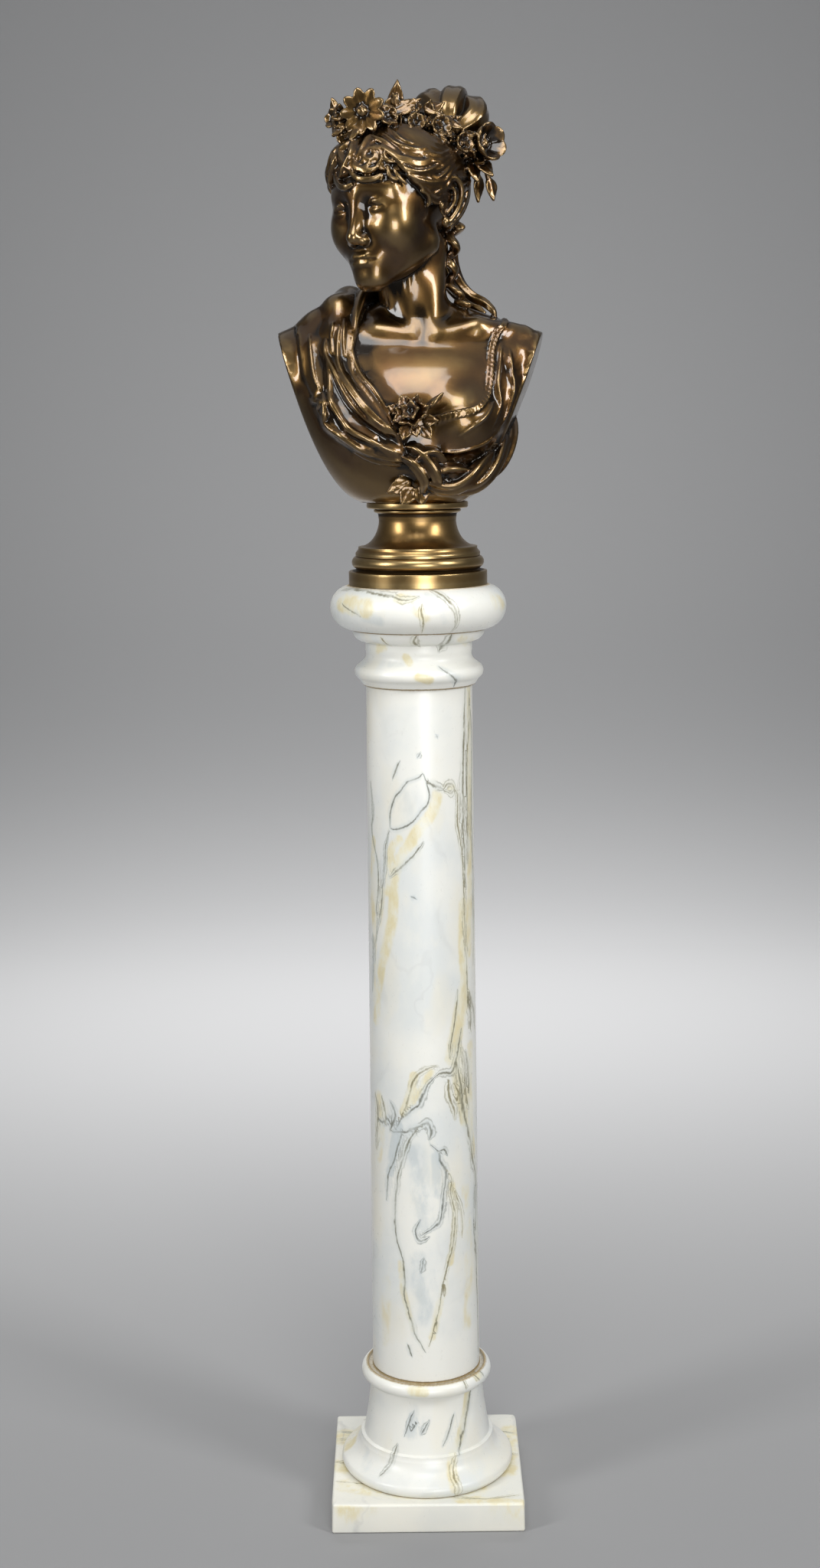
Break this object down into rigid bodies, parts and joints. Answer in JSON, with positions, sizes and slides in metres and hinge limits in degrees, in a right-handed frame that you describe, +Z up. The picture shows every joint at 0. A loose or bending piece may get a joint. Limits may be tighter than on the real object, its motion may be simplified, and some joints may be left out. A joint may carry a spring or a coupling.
{
  "type": "bronze bust on a marble column",
  "caption": "Bronze bust of a woman in a flower wreath and knotted drapery, on a round bronze socle and a turned marble column that stands on a square slab.",
  "frame": {"origin": "middle of the slab's underside, on the floor under the column's axis", "axes": "+Z up along the column's axis, -Y towards the front of the chest, +X to the viewer's right"},
  "size_m": [0.3134, 0.24, 1.7533],
  "materials": {
    "brown_bronze": "polished warm brown patina, darker in the hollows",
    "golden_bronze": "satin golden brown patina",
    "white_marble": "polished white marble with blue-grey veins and honey-coloured patches",
    "honey_marble": "polished cream marble with honey-coloured streaks"
  },
  "bodies": {
    "root": {"bust": "brown_bronze", "socle": "golden_bronze", "column_cap": "white_marble", "column_capital": "white_marble", "column_shaft": "white_marble", "column_base": "white_marble", "plinth_slab": "honey_marble"}
  },
  "joints": []
}
